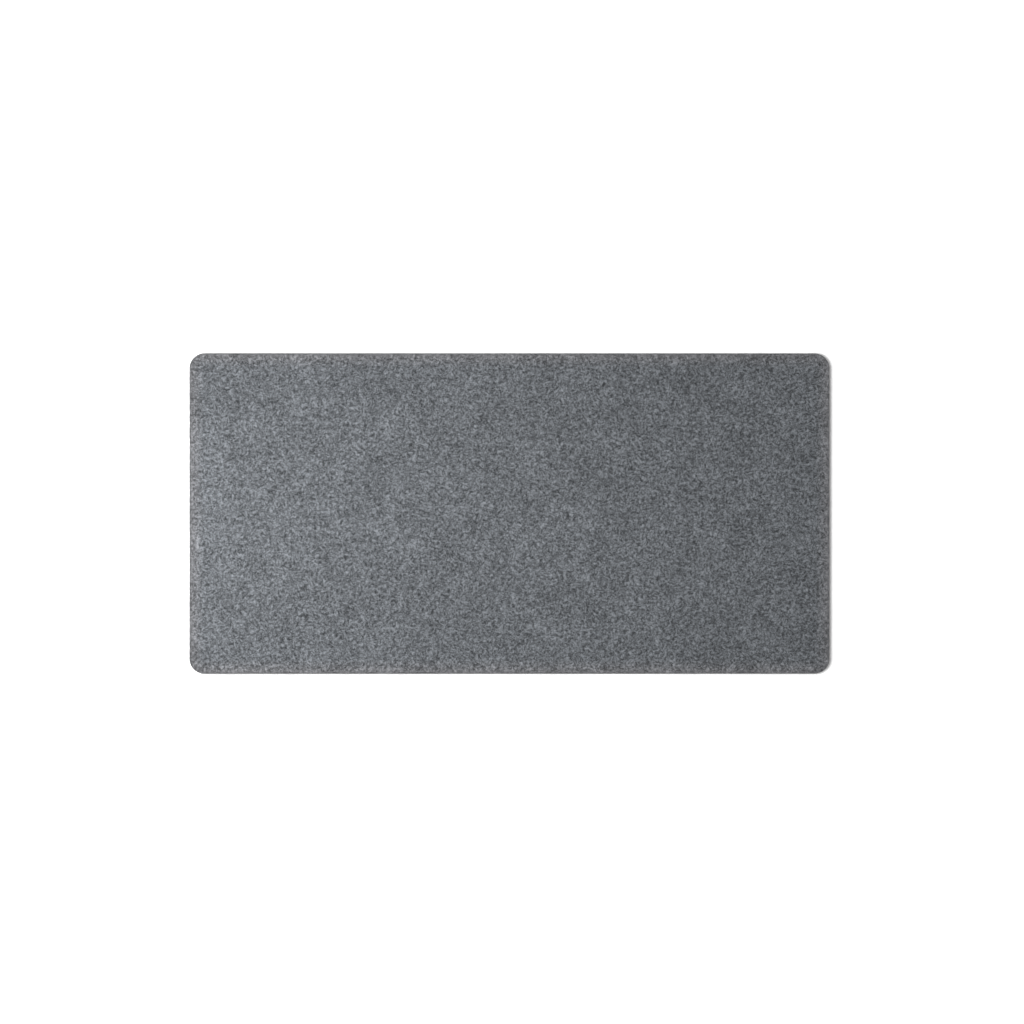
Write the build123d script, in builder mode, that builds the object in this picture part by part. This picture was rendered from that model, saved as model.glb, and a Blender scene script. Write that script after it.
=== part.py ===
from build123d import *

import os

# A desk mat lying flat. A sheet of grey felt is bonded to a thin non-slip rubber
# sheet by a web of hot-melt glue, and the three layers are die-cut together, so
# their edges are flush and their corners share one radius.
#
# Millimetres, +Z up, +X along the mat's length and +Y towards its far edge. The
# origin is the centre of the underside, on the surface that the mat lies on.

# Driving dimensions
mat_length = 600.0
mat_depth = 300.0
corner_radius = 14.0

base_thickness = 0.8
film_thickness = 0.2
felt_thickness = 3.0

# Small edge shapes
felt_edge_round = 0.6  # the felt's upper edge is pressed round by the cutting die
base_edge_bevel = 0.2  # the rubber draws in a little where the cut ends

# Height at which each layer starts
film_height = base_thickness
felt_height = film_height + film_thickness


# The rubber sheet grips the desk with its flat underside.
with BuildPart() as rubber_base:
    with BuildSketch(Plane.XY):
        RectangleRounded(mat_length, mat_depth, corner_radius)
    extrude(amount=base_thickness)
    chamfer(rubber_base.edges().group_by(Axis.Z)[0], base_edge_bevel)
rubber_base.part.label = "rubber_base"

# The glue web joins felt and rubber over their whole area.
with BuildPart() as adhesive_film:
    with BuildSketch(Plane.XY.offset(film_height)):
        RectangleRounded(mat_length, mat_depth, corner_radius)
    extrude(amount=film_thickness)
adhesive_film.part.label = "adhesive_film"

# The felt is the working surface.
with BuildPart() as felt_face:
    with BuildSketch(Plane.XY.offset(felt_height)):
        RectangleRounded(mat_length, mat_depth, corner_radius)
    extrude(amount=felt_thickness)
    fillet(felt_face.edges().group_by(Axis.Z)[-1], felt_edge_round)
felt_face.part.label = "felt_face"


os.makedirs("parts", exist_ok=True)
for layer in (rubber_base, adhesive_film, felt_face):
    export_step(layer.part, f"parts/{layer.part.label}.step")
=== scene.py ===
"""The looks of a felt desk mat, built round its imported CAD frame.

The mat is a laminate of three sheets: melange felt, a web of hot-melt glue and a rubber
base. Each is a closed mesh of its own with real relief, and the felt also carries its
nap, which is thousands of separate closed fibres.

Lengths are in metres, and the small ones are written as millimetres times MM. Inside the
material nodes, places are in millimetres.
"""

import math

import bmesh
import bpy
import numpy as np
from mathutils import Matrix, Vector


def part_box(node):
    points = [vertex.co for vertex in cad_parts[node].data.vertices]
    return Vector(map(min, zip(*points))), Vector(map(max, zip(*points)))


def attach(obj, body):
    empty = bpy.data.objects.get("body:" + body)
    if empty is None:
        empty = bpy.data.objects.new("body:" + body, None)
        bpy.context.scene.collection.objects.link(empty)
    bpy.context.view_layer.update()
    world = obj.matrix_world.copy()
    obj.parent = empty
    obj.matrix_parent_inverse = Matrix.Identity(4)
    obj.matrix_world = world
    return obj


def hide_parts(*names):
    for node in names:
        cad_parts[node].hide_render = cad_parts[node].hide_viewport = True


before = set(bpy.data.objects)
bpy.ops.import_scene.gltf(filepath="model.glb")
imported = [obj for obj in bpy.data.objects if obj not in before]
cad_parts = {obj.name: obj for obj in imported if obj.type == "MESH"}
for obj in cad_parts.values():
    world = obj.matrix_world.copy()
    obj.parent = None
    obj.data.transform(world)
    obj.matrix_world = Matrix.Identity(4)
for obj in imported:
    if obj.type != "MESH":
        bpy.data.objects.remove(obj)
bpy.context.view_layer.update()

MM = 0.001
SEED = 20

felt_low, felt_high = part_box("felt_face")
film_low, film_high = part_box("adhesive_film")
base_low, base_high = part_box("rubber_base")

# The mat's outline is its core, an inner rectangle, grown by the corner radius.
HALF_SIZE = np.array([felt_high.x, felt_high.y])
CORNER_RADIUS = 14 * MM
CORE = HALF_SIZE - CORNER_RADIUS
CORNER_STEPS = 16  # facets in each rounded corner


# --- The outline --------------------------------------------------------------------


def inset_and_outward(x, y):
    """How far points lie inside the outline, up to the radius, and which way is out."""
    out_x = x - np.clip(x, -CORE[0], CORE[0])
    out_y = y - np.clip(y, -CORE[1], CORE[1])
    reach = np.hypot(out_x, out_y)
    safe = np.maximum(reach, 1e-9)
    return CORNER_RADIUS - reach, out_x / safe, out_y / safe


def inset_of(x, y):
    """Only how far points lie inside the outline, up to the radius."""
    return inset_and_outward(x, y)[0]


# --- Random relief ------------------------------------------------------------------

NOISE_CELL = 0.75 * MM
NOISE_MARGIN = 10 * MM


def smooth_noise(rng, blur):
    """A height map over the mat, of unit spread and smooth below about blur metres."""
    columns, rows = (round(2 * (half + NOISE_MARGIN) / NOISE_CELL) for half in HALF_SIZE)
    grain = np.fft.fft2(rng.standard_normal((rows, columns)))
    fy = np.fft.fftfreq(rows, NOISE_CELL)[:, None]
    fx = np.fft.fftfreq(columns, NOISE_CELL)[None, :]
    smooth = np.fft.ifft2(grain * np.exp(-2 * (np.pi * blur) ** 2 * (fx**2 + fy**2))).real
    return smooth / smooth.std()


def read_map(height_map, x, y):
    """The height map at points in metres, by bilinear interpolation."""
    rows, columns = height_map.shape
    u = np.clip((x + HALF_SIZE[0] + NOISE_MARGIN) / NOISE_CELL, 0, columns - 1.001)
    v = np.clip((y + HALF_SIZE[1] + NOISE_MARGIN) / NOISE_CELL, 0, rows - 1.001)
    i, j = u.astype(int), v.astype(int)
    s, t = u - i, v - j
    lower = height_map[j, i] * (1 - s) + height_map[j, i + 1] * s
    upper = height_map[j + 1, i] * (1 - s) + height_map[j + 1, i + 1] * s
    return lower * (1 - t) + upper * t


def smooth_step(value, low, high):
    """Rises smoothly from 0 where the value is low to 1 where it is high."""
    t = np.clip((value - low) / (high - low), 0, 1)
    return t * t * (3 - 2 * t)


# --- Sheets with rounded corners ----------------------------------------------------

MERGE_DISTANCE = 0.12 * MM  # border vertices nearer than this become one
ROUNDING_ERROR = 1e-7  # more than the coordinates of a mesh are off by


def even_lines(half, spacing):
    """Grid lines from -half to half, about spacing apart."""
    return np.linspace(-half, half, round(2 * half / spacing) + 1)


def cut_corner(mesh, side_x, side_y, radius):
    """Cuts one corner of a grid round, by a fan of straight cuts."""
    centre = Vector((side_x * CORE[0], side_y * CORE[1], 0))
    faces = [f for f in mesh.faces if max(side_x * v.co.x for v in f.verts) > CORE[0]]
    faces = [f for f in faces if max(side_y * v.co.y for v in f.verts) > CORE[1]]
    # A dictionary's keys are unique, as in a set, but also in the same order each run.
    corners = dict.fromkeys(v for f in faces for v in f.verts)
    edges = dict.fromkeys(e for f in faces for e in f.edges)
    part = [*corners, *edges, *faces]
    for k in range(CORNER_STEPS):
        turn = math.pi / 2 * (k + 0.5) / CORNER_STEPS
        out = Vector((side_x * math.cos(turn), side_y * math.sin(turn), 0))
        cut = bmesh.ops.bisect_plane(
            mesh, geom=part, plane_co=centre + radius * out, plane_no=out, clear_outer=True
        )
        part = cut["geom"]


def snap_to_outline(vertices, inset):
    """Moves border vertices straight out or in, to the outline drawn in by inset."""
    for vertex in vertices:
        x, y, z = vertex.co
        _, out_x, out_y = inset_and_outward(x, y)
        core_x, core_y = np.clip((x, y), -CORE, CORE)
        reach = CORNER_RADIUS - inset
        vertex.co = (core_x + out_x * reach, core_y + out_y * reach, z)


def grow_border(mesh, edges, inset, height):
    """Adds a ring of faces beyond the border edges, and gives back its outer edges."""
    rim = dict.fromkeys(v for e in edges for v in e.verts)
    copies = {v: mesh.verts.new((v.co.x, v.co.y, height)) for v in rim}
    snap_to_outline(copies.values(), inset)
    for edge in edges:
        a, b = edge.verts
        mesh.faces.new((a, b, copies[b], copies[a]))
    return [mesh.edges.get([copies[v] for v in e.verts]) for e in edges]


def sheet_mesh(name, xs, ys, section):
    """A closed sheet: a flat grid, a border and a plain far side.

    The section gives the border as (inset, height) steps, from the grid's edge outwards
    and round to the far side.
    """
    made = bmesh.new()
    grid = [[made.verts.new((x, y, section[0][1])) for x in xs] for y in ys]
    for lower, upper in zip(grid, grid[1:]):
        for a, b, c, d in zip(lower, lower[1:], upper[1:], upper):
            made.faces.new((a, b, c, d))
    for side_x in (-1, 1):
        for side_y in (-1, 1):
            cut_corner(made, side_x, side_y, CORNER_RADIUS - section[0][0])
    rim = [v for v in made.verts if v.is_boundary]
    bmesh.ops.remove_doubles(made, verts=rim, dist=MERGE_DISTANCE)
    snap_to_outline([v for v in made.verts if v.is_boundary], section[0][0])
    edges = [e for e in made.edges if e.is_boundary]
    for inset, height in section[1:]:
        edges = grow_border(made, edges, inset, height)
    bmesh.ops.contextual_create(made, geom=edges)
    bmesh.ops.recalc_face_normals(made, faces=made.faces)
    mesh = bpy.data.meshes.new(name)
    made.to_mesh(mesh)
    made.free()
    return mesh


def read_points(mesh):
    points = np.empty(3 * len(mesh.vertices))
    mesh.vertices.foreach_get("co", points)
    return points.reshape(-1, 3)


def write_points(mesh, points):
    mesh.vertices.foreach_set("co", points.ravel())
    mesh.update()


def ripple_edge(points, height_map, depth, reach=0.7 * MM):
    """Moves the outermost points, as far in as reach, in and out by depth times the map.

    The map is read further along with height, so the ripple isn't the same down the edge.
    """
    x, y, z = points.T
    inset, out_x, out_y = inset_and_outward(x, y)
    push = depth * read_map(height_map, x + 2 * z, y - 3 * z) * (inset < reach)
    points[:, 0] += push * out_x
    points[:, 1] += push * out_y


def add_piece(mesh, materials, crease=50):
    """Puts a mesh in the scene, smooth up to the crease angle, riding on the mat's body."""
    mesh.polygons.foreach_set("use_smooth", np.ones(len(mesh.polygons), bool))
    mesh.set_sharp_from_angle(angle=math.radians(crease))
    for material in materials:
        mesh.materials.append(material)
    piece = bpy.data.objects.new(mesh.name, mesh)
    bpy.context.scene.collection.objects.link(piece)
    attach(piece, "root")
    return piece


# --- Material nodes -----------------------------------------------------------------


class Shader:
    """A Principled material, and short ways to add the nodes that feed it."""

    def __init__(self, name, values):
        self.material = bpy.data.materials.new(name)
        self.material.use_nodes = True
        self.tree = self.material.node_tree
        self.tree.nodes.clear()
        self.principled = self.node("ShaderNodeBsdfPrincipled", values)
        output = self.node("ShaderNodeOutputMaterial", {})
        self.tree.links.new(self.principled.outputs[0], output.inputs["Surface"])

    def node(self, kind, inputs, **settings):
        """A node with its settings, and its inputs given as values or as sockets to link."""
        made = self.tree.nodes.new(kind)
        for name, value in settings.items():
            setattr(made, name, value)
        for name, value in inputs.items():
            if isinstance(value, bpy.types.NodeSocket):
                self.tree.links.new(value, made.inputs[name])
            else:
                made.inputs[name].default_value = value
        return made

    def feed(self, name, socket):
        self.tree.links.new(socket, self.principled.inputs[name])

    def maths(self, operation, *values):
        inputs = dict(enumerate(values))
        return self.node("ShaderNodeMath", inputs, operation=operation).outputs[0]

    def vector(self, operation, *values, scale=None):
        inputs = dict(enumerate(values))
        if scale is not None:
            inputs["Scale"] = scale
        return self.node("ShaderNodeVectorMath", inputs, operation=operation).outputs[0]

    def remap(self, value, low, high, to_low=0.0, to_high=1.0):
        """The value's stretch from low to high turned into to_low to to_high, and clamped."""
        inputs = dict(enumerate((value, low, high, to_low, to_high)))
        return self.node("ShaderNodeMapRange", inputs).outputs[0]

    def mix(self, factor, first, second):
        """A colour from first at factor 0 to second at factor 1."""
        # Inputs 6 and 7 and output 2 are the node's sockets for colours.
        inputs = {0: factor, 6: first, 7: second}
        return self.node("ShaderNodeMix", inputs, data_type="RGBA").outputs[2]

    def place(self):
        """The surface point in the mat's frame, in millimetres."""
        here = self.node("ShaderNodeTexCoord", {}).outputs["Object"]
        return self.vector("SCALE", here, scale=1 / MM)

    def noise(self, place, scale, detail=1.0, roughness=0.5):
        """Noise about 0.5, with scale lumps to the millimetre and finer detail on them."""
        inputs = {"Vector": place, "Scale": scale, "Detail": detail, "Roughness": roughness}
        return self.node("ShaderNodeTexNoise", inputs).outputs["Fac"]

    def curl(self, place, scale, reach):
        """The place pushed about by noise, which bends the lines of a pattern."""
        inputs = {"Vector": place, "Scale": scale, "Detail": 1.0}
        push = self.node("ShaderNodeTexNoise", inputs).outputs["Color"]
        push = self.vector("SUBTRACT", push, (0.5, 0.5, 0.5))
        return self.vector("ADD", place, self.vector("SCALE", push, scale=2 * reach))

    def strands(self, place, angle, along, across):
        """Noise drawn out into strands at an angle, in lumps to the millimetre each way."""
        inputs = {"Vector": place, "Rotation": (0, 0, math.radians(angle))}
        turned = self.node("ShaderNodeMapping", inputs).outputs[0]
        return self.noise(self.vector("MULTIPLY", turned, (along, across, across)), 1.0)

    def weigh(self, parts):
        """Noises about 0.5 added up, each by its weight, into one about 0.5."""
        total = 0.5
        for noise, weight in parts:
            total = self.maths("MULTIPLY_ADD", self.maths("SUBTRACT", noise, 0.5), weight, total)
        return total

    def inset(self, place):
        """Millimetres inside the mat's outline, up to the corner radius."""
        # The core is a metre tall here, so that heights don't count.
        core = (CORE[0] / MM, CORE[1] / MM, 1 / MM)
        out = self.vector("SUBTRACT", self.vector("ABSOLUTE", place), core)
        out = self.vector("MAXIMUM", out, (0, 0, 0))
        reach = self.node("ShaderNodeVectorMath", {0: out}, operation="LENGTH")
        return self.maths("SUBTRACT", CORNER_RADIUS / MM, reach.outputs["Value"])

    def bump(self, height, depth):
        """A normal bumped by depth metres where the height goes from 0 to 1."""
        return self.node("ShaderNodeBump", {"Height": height, "Distance": depth}).outputs[0]


# --- The felt's colour --------------------------------------------------------------

# Lumps to the millimetre and weights of the felt's grain, from wide patches to small tufts
TUFTS = ((0.045, 0.15), (0.11, 0.19), (0.32, 0.94), (0.5, 1.43), (0.95, 0.95))
# Strands of fibre: angles, then lumps to the millimetre along and across, and weight
WIDE_STRANDS = ((14, 61, 107, 152), (0.16, 2.3, 0.45))
FINE_STRANDS = ((35, 82, 129, 171), (0.5, 8.0, 0.41))
# What bends tufts and strands: lumps to the millimetre and reach in millimetres
CURLS = ((0.09, 3.0), (0.6, 0.5))
WALL_STRATA = 3.5  # how much flatter the felt's lumps are than they are wide

DARK_FELT = (0.0234, 0.0251, 0.0271, 1)
PALE_FELT = (0.1694, 0.1811, 0.1965, 1)
TONE_CURVE = 1.45  # above 1, pale fibres are rarer and stand out more
CLOUD_SCALE = 0.022  # lumps to the millimetre
CLOUD_TINTS = (0.93, 1.07)

# The cutting die presses the rim, which evens its grain. The colour is also made paler and a little
# pinker towards the outline, fading out over RIM_WIDTH.
RIM_TINT = (1.34, 1.25, 1.21)
RIM_WIDTH = 13.0  # millimetres
RIM_GRAIN = 0.65  # the share of the grain that is left at the outline
RIM_GRAIN_PLACES = (0.5, 5.0)  # millimetres inside the outline between which it comes back

GRAIN_ROUGHNESS = (1.0, 0.88)  # in the dark and in the pale fibres
GRAIN_BUMP = 0.12 * MM


def felt_grain(shader, place):
    """The mixture of tufts and strands that dark and pale fibres make, about 0.5."""
    curled = shader.vector("MULTIPLY", place, (1, 1, WALL_STRATA))
    for scale, reach in CURLS:
        curled = shader.curl(curled, scale, reach)
    # Each layer has a place of its own in the noise, or layers would line up round the origin.
    parts = []
    for number, (scale, weight) in enumerate(TUFTS):
        apart = shader.vector("ADD", curled, (900 * number, 400 * number, 0))
        parts.append((shader.noise(apart, scale), weight))
    number = 0
    for angles, (along, across, weight) in (WIDE_STRANDS, FINE_STRANDS):
        for angle in angles:
            apart = shader.vector("ADD", curled, (-700 * number, 600, 300 * number))
            parts.append((shader.strands(apart, angle, along, across), weight))
            number += 1
    return shader.weigh(parts)


def felt_material():
    """Melange felt: charcoal and pale grey fibres, carded together in curling tufts."""
    values = {"Sheen Weight": 0.12, "Sheen Roughness": 0.5, "Specular IOR Level": 0.15}
    shader = Shader("felt_melange", values)
    place = shader.place()
    inset = shader.inset(place)
    grain = felt_grain(shader, place)
    evened = shader.remap(inset, *RIM_GRAIN_PLACES, RIM_GRAIN, 1.0)
    grain = shader.maths("MULTIPLY_ADD", shader.maths("SUBTRACT", grain, 0.5), evened, 0.5)

    tone = shader.maths("POWER", shader.remap(grain, 0.0, 1.0), TONE_CURVE)
    colour = shader.mix(tone, DARK_FELT, PALE_FELT)
    rim = shader.remap(inset, 0.0, RIM_WIDTH, 1.0, 0.0)
    paler = shader.mix(rim, (1, 1, 1, 1), (*RIM_TINT, 1))
    cloud = shader.noise(place, CLOUD_SCALE, detail=2.0)
    clouds = shader.remap(cloud, 0.3, 0.7, *CLOUD_TINTS)
    tint = shader.vector("SCALE", paler, scale=clouds)
    shader.feed("Base Color", shader.vector("MULTIPLY", colour, tint))

    shader.feed("Roughness", shader.remap(grain, 0.1, 0.9, *GRAIN_ROUGHNESS))
    shader.feed("Normal", shader.bump(grain, GRAIN_BUMP))
    return shader.material


# A fibre is dyed right through, so its colour is one value. The melange is the mixture.
FIBRE_TONES = {
    "white": (0.250, 0.265, 0.282, 1),
    "silver": (0.150, 0.160, 0.172, 1),
    "steel": (0.093, 0.098, 0.106, 1),
    "slate": (0.055, 0.059, 0.063, 1),
    "charcoal": (0.027, 0.029, 0.031, 1),
    "black": (0.012, 0.012, 0.014, 1),
}
TONE_SHARES = (0.10, 0.20, 0.20, 0.18, 0.20, 0.12)


def fibre_materials():
    materials = []
    for tone, colour in FIBRE_TONES.items():
        values = {"Base Color": colour, "Roughness": 0.75, "Sheen Weight": 0.1}
        materials.append(Shader(f"fibre_{tone}", values).material)
    return materials


# --- The felt -----------------------------------------------------------------------

FELT_SPACING = 1.53 * MM
FELT_BORDER = 1.1 * MM  # where the grid ends and the border over the edge begins
FELT_ROUND = 0.6 * MM  # the rounding that the cutting die presses into the upper edge
FELT_ROUND_STEPS = 5
FELT_WALL = felt_high.z - FELT_ROUND - felt_low.z
FELT_WALL_STEPS = 5
FELT_WALL_SWELL = 0.06 * MM


def felt_section():
    """The felt's border, over the rounded edge and down the cut wall, which swells a little."""
    section = [(FELT_BORDER, felt_high.z)]
    for k in range(FELT_ROUND_STEPS + 1):
        turn = math.pi / 2 * k / FELT_ROUND_STEPS
        drop = FELT_ROUND * (1 - math.cos(turn))
        section.append((FELT_ROUND * (1 - math.sin(turn)), felt_high.z - drop))
    for k in range(1, FELT_WALL_STEPS + 1):
        down = k / FELT_WALL_STEPS
        swell = FELT_WALL_SWELL * math.sin(math.pi * down)
        section.append((-swell, felt_low.z + FELT_WALL * (1 - down)))
    return section


class FeltFace:
    """The relief of the felt's face: matted tufts on slow undulations, pressed flat at the rim."""

    # The depth of each layer, and the size of its lumps
    LAYERS = ((0.055 * MM, 1.2 * MM), (0.05 * MM, 4 * MM), (0.05 * MM, 22 * MM))
    PRESSED = 3 * MM  # how far in from the outline the relief is held down

    def __init__(self, rng):
        self.relief = sum(depth * smooth_noise(rng, blur) for depth, blur in self.LAYERS)
        self.relief -= 2 * self.relief.std()

    def height(self, x, y):
        """The face's height above the felt's nominal top, which only its peaks reach."""
        return read_map(self.relief, x, y) * smooth_step(inset_of(x, y), 0, self.PRESSED)


def make_felt(face, rng):
    xs, ys = (even_lines(half - FELT_BORDER, FELT_SPACING) for half in HALF_SIZE)
    mesh = sheet_mesh("felt_sheet", xs, ys, felt_section())
    points = read_points(mesh)
    on_face = points[:, 2] > felt_high.z - ROUNDING_ERROR
    points[on_face, 2] += face.height(points[on_face, 0], points[on_face, 1])
    ripple_edge(points, smooth_noise(rng, 1.2 * MM), 0.05 * MM)
    write_points(mesh, points)
    piece = add_piece(mesh, [felt_material()])
    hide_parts("felt_face")
    return piece


# --- The nap ------------------------------------------------------------------------

FIBRE_STATIONS = (0.0, 0.2, 0.4, 0.6, 0.8, 1.0)  # places along a fibre
FIBRE_SIDES = 3
FIBRE_VERTICES = (len(FIBRE_STATIONS) - 2) * FIBRE_SIDES + 2

FACE_NAP_PIECES = 7
FACE_FIBRES = 8200  # in each piece
FACE_NAP_INSET = 1.5 * MM  # how far inside the outline the face's fibres have their middles
FACE_NAP_MARGIN = 0.4 * MM  # how far inside it their ends stay

EDGE_FUZZ_PIECES = 2
EDGE_FIBRES = 8200  # in each piece
EDGE_NAP_START = 0.2 * MM  # how far up the wall the edge's fibres begin
RIM_NAP = 1.2 * MM  # how far they go in over the flat face
EDGE_NAP_RISE = 0.2 * MM  # how far above the face their ends may reach


def one_fibre_faces():
    """Faces of one closed fibre: a tail, rings round its inner stations, and a tip."""
    tail, tip = 0, FIBRE_VERTICES - 1
    faces = []
    for side in range(FIBRE_SIDES):
        beside = (side + 1) % FIBRE_SIDES
        faces.append((tail, 1 + beside, 1 + side))
        for ring in range(1, tip - FIBRE_SIDES, FIBRE_SIDES):
            after = ring + FIBRE_SIDES
            faces.append((ring + side, ring + beside, after + beside, after + side))
        faces.append((tip - FIBRE_SIDES + side, tip - FIBRE_SIDES + beside, tip))
    return faces


def fibre_points(centre, along, aside, up, length, curve, lift, radius, ground=None):
    """Vertices of fibres that curve sideways over their ground, with their ends buried."""
    mean_bow = 0.08  # about the mean of t * t, so that curving leaves a fibre's middle in place
    rings = []
    for station in FIBRE_STATIONS:
        t = station - 0.5
        middle = centre + along * (length * t)[:, None]
        middle += aside * (length * curve * (t * t - mean_bow))[:, None]
        if ground:
            middle[:, 2] += ground(middle[:, 0], middle[:, 1])
        middle += up * (lift * (1 - 4 * t * t) - radius)[:, None]
        if station in (0.0, 1.0):
            rings.append(middle[:, None])
            continue
        for side in range(FIBRE_SIDES):
            turn = 2 * math.pi * side / FIBRE_SIDES + math.pi / 2
            out = aside * math.cos(turn) + up * math.sin(turn)
            rings.append((middle + out * radius[:, None])[:, None])
    return np.concatenate(rings, axis=1).reshape(-1, 3)


def face_fibres(rng, face, count):
    """Fibres matted into the felt's face, lying every way."""
    x, y = (rng.uniform(-half, half, 2 * count) for half in HALF_SIZE)
    inside = inset_of(x, y) > FACE_NAP_INSET
    x, y = x[inside][:count], y[inside][:count]
    angle = rng.uniform(0, 2 * math.pi, count)
    room = 2 * (inset_of(x, y) - FACE_NAP_MARGIN)
    zero, one = np.zeros(count), np.ones(count)
    return fibre_points(
        centre=np.stack([x, y, felt_high.z * one], axis=1),
        along=np.stack([np.cos(angle), np.sin(angle), zero], axis=1),
        aside=np.stack([-np.sin(angle), np.cos(angle), zero], axis=1),
        up=np.stack([zero, zero, one], axis=1),
        length=np.minimum(rng.uniform(2.5 * MM, 8 * MM, count), room),
        curve=rng.normal(0, 0.8, count),
        lift=rng.uniform(0.04 * MM, 0.18 * MM, count),
        radius=rng.uniform(0.025 * MM, 0.055 * MM, count),
        ground=face.height,
    )


def outline_points(rng, count):
    """Random points on the outline, with their outward directions."""
    angle = rng.uniform(0, 2 * math.pi, count)
    share = rng.uniform(0, 1, count) * (4 * CORE.sum() + 2 * math.pi * CORNER_RADIUS)
    out_x, out_y = np.cos(angle), np.sin(angle)
    x = np.sign(out_x) * CORE[0] + out_x * CORNER_RADIUS
    y = np.sign(out_y) * CORE[1] + out_y * CORNER_RADIUS
    on_long = share < 4 * CORE[0]
    on_short = ~on_long & (share < 4 * CORE.sum())
    x[on_long] = rng.uniform(-CORE[0], CORE[0], on_long.sum())
    y[on_long] = np.sign(out_y[on_long]) * HALF_SIZE[1]
    y[on_short] = rng.uniform(-CORE[1], CORE[1], on_short.sum())
    x[on_short] = np.sign(out_x[on_short]) * HALF_SIZE[0]
    out_x[on_long], out_y[on_long] = 0, np.sign(out_y[on_long])
    out_x[on_short], out_y[on_short] = np.sign(out_x[on_short]), 0
    return x, y, out_x, out_y


def edge_fibres(rng, face, count):
    """Short fibres matted into the cut wall and over its rounded edge, some pulled loose."""
    x, y, out_x, out_y = outline_points(rng, count)
    # Each fibre's way is measured up the wall, over the bend and in over the face.
    bend = FELT_ROUND * math.pi / 2
    way = rng.uniform(EDGE_NAP_START, FELT_WALL + bend + RIM_NAP, count)
    turn = np.clip((way - FELT_WALL) / FELT_ROUND, 0, math.pi / 2)
    inward = FELT_ROUND * (1 - np.cos(turn)) + np.maximum(way - FELT_WALL - bend, 0)
    x, y = x - out_x * inward, y - out_y * inward
    z = felt_low.z + np.minimum(way, FELT_WALL) + FELT_ROUND * np.sin(turn) + face.height(x, y)

    lean = rng.normal(0, 0.45, count)
    over = np.sin(turn) * np.sin(lean)
    climb = np.cos(turn) * np.sin(lean)
    along_x = -out_y * np.cos(lean) - out_x * over
    along_y = out_x * np.cos(lean) - out_y * over
    along = np.stack([along_x, along_y, climb], axis=1)
    up = np.stack([out_x * np.cos(turn), out_y * np.cos(turn), np.sin(turn)], axis=1)
    free = np.minimum(z - felt_low.z, felt_high.z + EDGE_NAP_RISE - z)
    room = 2 * free / np.maximum(np.abs(climb), 0.05)
    return fibre_points(
        centre=np.stack([x, y, z], axis=1),
        along=along,
        aside=np.cross(up, along),
        up=up,
        length=np.minimum(rng.uniform(1.2 * MM, 3.4 * MM, count), room),
        curve=rng.normal(0, 0.5, count),
        lift=rng.uniform(0.04 * MM, 0.25 * MM, count),
        radius=rng.uniform(0.022 * MM, 0.045 * MM, count),
    )


def nap_piece(name, points, materials, rng):
    """Joins fibres into one piece, each fibre in a tone drawn at random."""
    pattern = one_fibre_faces()
    count = len(points) // FIBRE_VERTICES
    faces = [tuple(v + FIBRE_VERTICES * n for v in face) for n in range(count) for face in pattern]
    mesh = bpy.data.meshes.new(name)
    mesh.from_pydata(points, [], faces)
    tones = rng.choice(len(materials), count, p=TONE_SHARES)
    piece = add_piece(mesh, materials, crease=180)
    mesh.polygons.foreach_set("material_index", np.repeat(tones, len(pattern)).astype(np.int32))
    return piece


def make_nap(face):
    """The nap, in pieces that each have a seed of their own."""
    materials = fibre_materials()
    kinds = [("felt_nap", number, face_fibres, FACE_FIBRES) for number in range(FACE_NAP_PIECES)]
    kinds += [("felt_edge_fuzz", number, edge_fibres, EDGE_FIBRES) for number in range(EDGE_FUZZ_PIECES)]
    pieces = []
    for place, (kind, number, fibres, count) in enumerate(kinds):
        rng = np.random.default_rng(SEED + 1 + place)
        points = fibres(rng, face, count)
        pieces.append(nap_piece(f"{kind}_{number + 1}", points, materials, rng))
    return pieces


# --- The glue -----------------------------------------------------------------------

GLUE_SPACING = 4 * MM
GLUE_BORDER = 0.5 * MM
GLUE_DRAWN_BACK = (0.2 * MM, 0.11 * MM, 0.08 * MM, 0.11 * MM, 0.2 * MM)  # from the top down


def glue_material():
    """Hot-melt glue: milky, and glossier where it was squeezed out."""
    shader = Shader("glue_milky", {})
    place = shader.place()
    flow = shader.noise(shader.curl(place, 0.2, 2.0), 0.4, detail=3.0, roughness=0.6)
    tone = shader.mix(shader.remap(flow, 0.3, 0.7), (0.20, 0.20, 0.19, 1), (0.35, 0.35, 0.33, 1))
    shader.feed("Base Color", tone)
    shader.feed("Roughness", shader.remap(flow, 0.3, 0.7, 0.35, 0.6))
    shader.feed("Normal", shader.bump(flow, 0.05 * MM))
    return shader.material


def glue_section():
    """The glue's border: a bead that the cut has drawn back between felt and rubber."""
    step = (film_high.z - film_low.z) / (len(GLUE_DRAWN_BACK) - 1)
    section = [(GLUE_BORDER, film_high.z)]
    for k, inset in enumerate(GLUE_DRAWN_BACK):
        section.append((inset, film_high.z - k * step))
    return section


def make_glue(rng):
    """The glue web, squeezed out of the cut here and drawn back into it there."""
    xs, ys = (even_lines(half - GLUE_BORDER, GLUE_SPACING) for half in HALF_SIZE)
    mesh = sheet_mesh("glue_web", xs, ys, glue_section())
    points = read_points(mesh)
    ripple_edge(points, smooth_noise(rng, 2 * MM), 0.07 * MM, reach=0.4 * MM)
    write_points(mesh, points)
    piece = add_piece(mesh, [glue_material()])
    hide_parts("adhesive_film")
    return piece


# --- The rubber ---------------------------------------------------------------------

TREAD_PITCH = 5 * MM
TREAD_GROOVE = 1.2 * MM
TREAD_DEPTH = 0.25 * MM
TREAD_FADE = 0.1 * MM  # how far above the bevel the grooves end
RUBBER_BEVEL = 0.2 * MM
BEVEL_TOP = base_low.z + RUBBER_BEVEL


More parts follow.
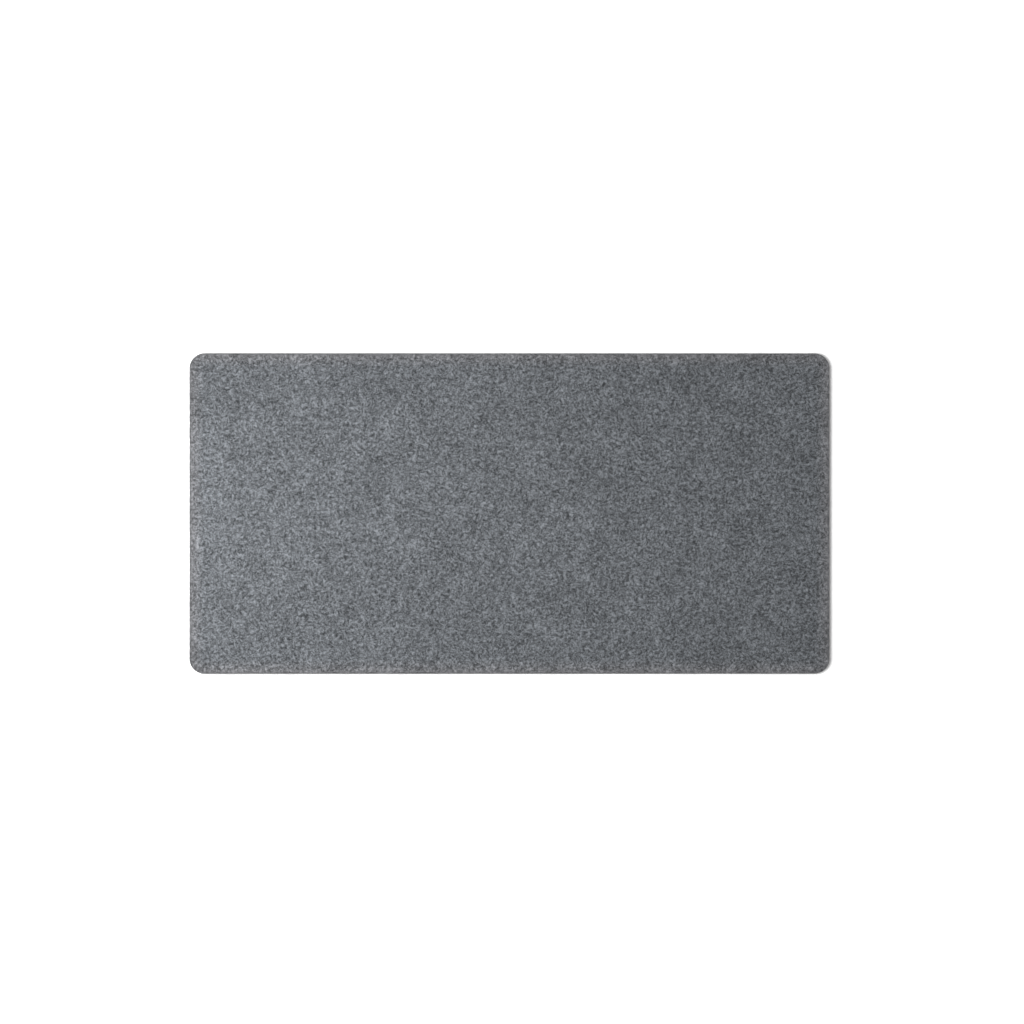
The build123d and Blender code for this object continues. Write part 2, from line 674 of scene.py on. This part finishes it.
def rubber_material():
    """Matt black rubber with a skin of fine pores, a pale bloom and a little dust."""
    shader = Shader("rubber_black", {"Specular IOR Level": 0.35})
    place = shader.place()
    pores = shader.noise(place, 3.5, detail=3.0, roughness=0.6)
    bloom = shader.remap(shader.noise(place, 0.035, detail=3.0, roughness=0.6), 0.3, 0.7)
    dust = shader.remap(shader.noise(place, 0.9, detail=2.0), 0.58, 0.75, 0.0, 0.25)
    tone = shader.mix(bloom, (0.022, 0.022, 0.023, 1), (0.042, 0.042, 0.044, 1))
    shader.feed("Base Color", shader.mix(dust, tone, (0.12, 0.12, 0.115, 1)))
    shader.feed("Roughness", shader.maths("MULTIPLY_ADD", bloom, 0.18, 0.72))
    shader.feed("Normal", shader.bump(pores, 0.06 * MM))
    return shader.material


def tread_lines(half):
    """Grid lines of the tread: one at each groove's bottom and one at each of its lips."""
    reach = math.ceil(half / TREAD_PITCH)
    bottoms = TREAD_PITCH * (np.arange(-reach, reach + 1) + 0.5)
    lines = np.concatenate([bottoms, bottoms - TREAD_GROOVE / 2, bottoms + TREAD_GROOVE / 2])
    return np.sort(np.append(lines[np.abs(lines) < half - 0.05 * MM], [-half, half]))


def tread_height(place):
    """How high the tread's groove rises into the rubber at a place along X or Y."""
    from_bottom = np.abs((place / TREAD_PITCH) % 1 - 0.5) * TREAD_PITCH
    return TREAD_DEPTH * np.clip(1 - from_bottom / (TREAD_GROOVE / 2), 0, 1)


def rubber_section():
    """The rubber's border: its bevelled lower edge and its cut wall, from the ground up."""
    return [
        (RUBBER_BEVEL, base_low.z),
        (RUBBER_BEVEL * 0.3, base_low.z + RUBBER_BEVEL * 0.3),
        (0.0, BEVEL_TOP),
        (0.0, (BEVEL_TOP + base_high.z) / 2),
        (0.0, base_high.z),
    ]


def make_rubber(rng):
    """The rubber base. Square pads cover its underside, and the cut runs through them."""
    xs, ys = (tread_lines(half - RUBBER_BEVEL) for half in HALF_SIZE)
    mesh = sheet_mesh("rubber_sheet", xs, ys, rubber_section())
    points = read_points(mesh)
    x, y, z = points.T
    groove = np.maximum(tread_height(x), tread_height(y))
    fade = np.clip((BEVEL_TOP + TREAD_FADE - z) / (RUBBER_BEVEL + TREAD_FADE), 0, 1)
    points[:, 2] += groove * fade
    ripple_edge(points, smooth_noise(rng, 3 * MM), 0.03 * MM)
    write_points(mesh, points)
    piece = add_piece(mesh, [rubber_material()], crease=15)
    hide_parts("rubber_base")
    return piece


# --- The studio ---------------------------------------------------------------------

FLOOR_HALF = 12.0
FLOOR_GAP = 0.02 * MM  # keeps the floor clear of the rubber pads

FILL_LIGHT = 0.51
BACKDROP = 0.93  # nearly as bright as the far floor, so that the horizon hardly shows
KEY_ELEVATION = math.radians(50)

VIEW_WIDTH = 0.960  # what the camera takes in, at the height of the felt's face
LENS = 100  # millimetres, as is the sensor
SENSOR = 36
AIM = (2.5 * MM, 1.5 * MM)  # the point of the mat that the camera stands over


def make_floor():
    shader = Shader("studio_floor", {"Base Color": (0.95, 0.95, 0.95, 1), "Roughness": 0.9})
    level = base_low.z - FLOOR_GAP
    sides = ((-1, -1), (1, -1), (1, 1), (-1, 1))
    mesh = bpy.data.meshes.new("studio_floor")
    mesh.from_pydata([(x * FLOOR_HALF, y * FLOOR_HALF, level) for x, y in sides], [], [(0, 1, 2, 3)])
    mesh.materials.append(shader.material)
    floor = bpy.data.objects.new("studio_floor", mesh)
    bpy.context.scene.collection.objects.link(floor)


def make_world():
    """An even fill light from all round, in front of a pale backdrop."""
    world = bpy.data.worlds.new("studio")
    world.use_nodes = True
    tree = world.node_tree
    tree.nodes.clear()
    fill = tree.nodes.new("ShaderNodeBackground")
    fill.inputs["Strength"].default_value = FILL_LIGHT
    backdrop = tree.nodes.new("ShaderNodeBackground")
    backdrop.inputs["Strength"].default_value = BACKDROP
    for background in (fill, backdrop):
        background.inputs["Color"].default_value = (1, 1, 1, 1)
    seen = tree.nodes.new("ShaderNodeLightPath").outputs["Is Camera Ray"]
    either = tree.nodes.new("ShaderNodeMixShader")
    tree.links.new(seen, either.inputs[0])
    tree.links.new(fill.outputs[0], either.inputs[1])
    tree.links.new(backdrop.outputs[0], either.inputs[2])
    output = tree.nodes.new("ShaderNodeOutputWorld")
    tree.links.new(either.outputs[0], output.inputs["Surface"])
    bpy.context.scene.world = world


def add_light(name, kind, place, target, **settings):
    """A light at a place, pointing at a target, that the camera doesn't see."""
    light = bpy.data.lights.new(name, kind)
    for setting, value in settings.items():
        setattr(light, setting, value)
    lamp = bpy.data.objects.new(name, light)
    lamp.location = place
    lamp.rotation_euler = (Vector(target) - Vector(place)).to_track_quat("-Z", "Y").to_euler()
    lamp.visible_camera = False
    bpy.context.scene.collection.objects.link(lamp)


def make_lights():
    """A broad key light from the left, and a strip light above and beyond the left edge."""
    add_light(
        "key",
        "SUN",
        place=(-math.cos(KEY_ELEVATION), 0, math.sin(KEY_ELEVATION)),
        target=(0, 0, 0),
        energy=1.9,
        angle=math.radians(30),
    )
    add_light(
        "strip",
        "AREA",
        place=(-0.40, 0, 0.35),
        target=(-0.10, 0, 0),
        energy=6.0,
        shape="RECTANGLE",
        size=0.06,
        size_y=1.2,
    )


def make_camera():
    """A camera straight above the mat, as in the photograph."""
    data = bpy.data.cameras.new("camera")
    data.lens = LENS
    data.sensor_width = SENSOR
    camera = bpy.data.objects.new("camera", data)
    camera.location = (*AIM, felt_high.z + VIEW_WIDTH * LENS / SENSOR)
    bpy.context.scene.collection.objects.link(camera)
    bpy.context.scene.camera = camera
    bpy.context.scene.view_settings.view_transform = "Standard"


# --- The mat ------------------------------------------------------------------------

rng = np.random.default_rng(SEED)
felt_face = FeltFace(rng)
felt = make_felt(felt_face, rng)
nap = make_nap(felt_face)
glue = make_glue(rng)
rubber = make_rubber(rng)

make_floor()
make_world()
make_lights()
make_camera()
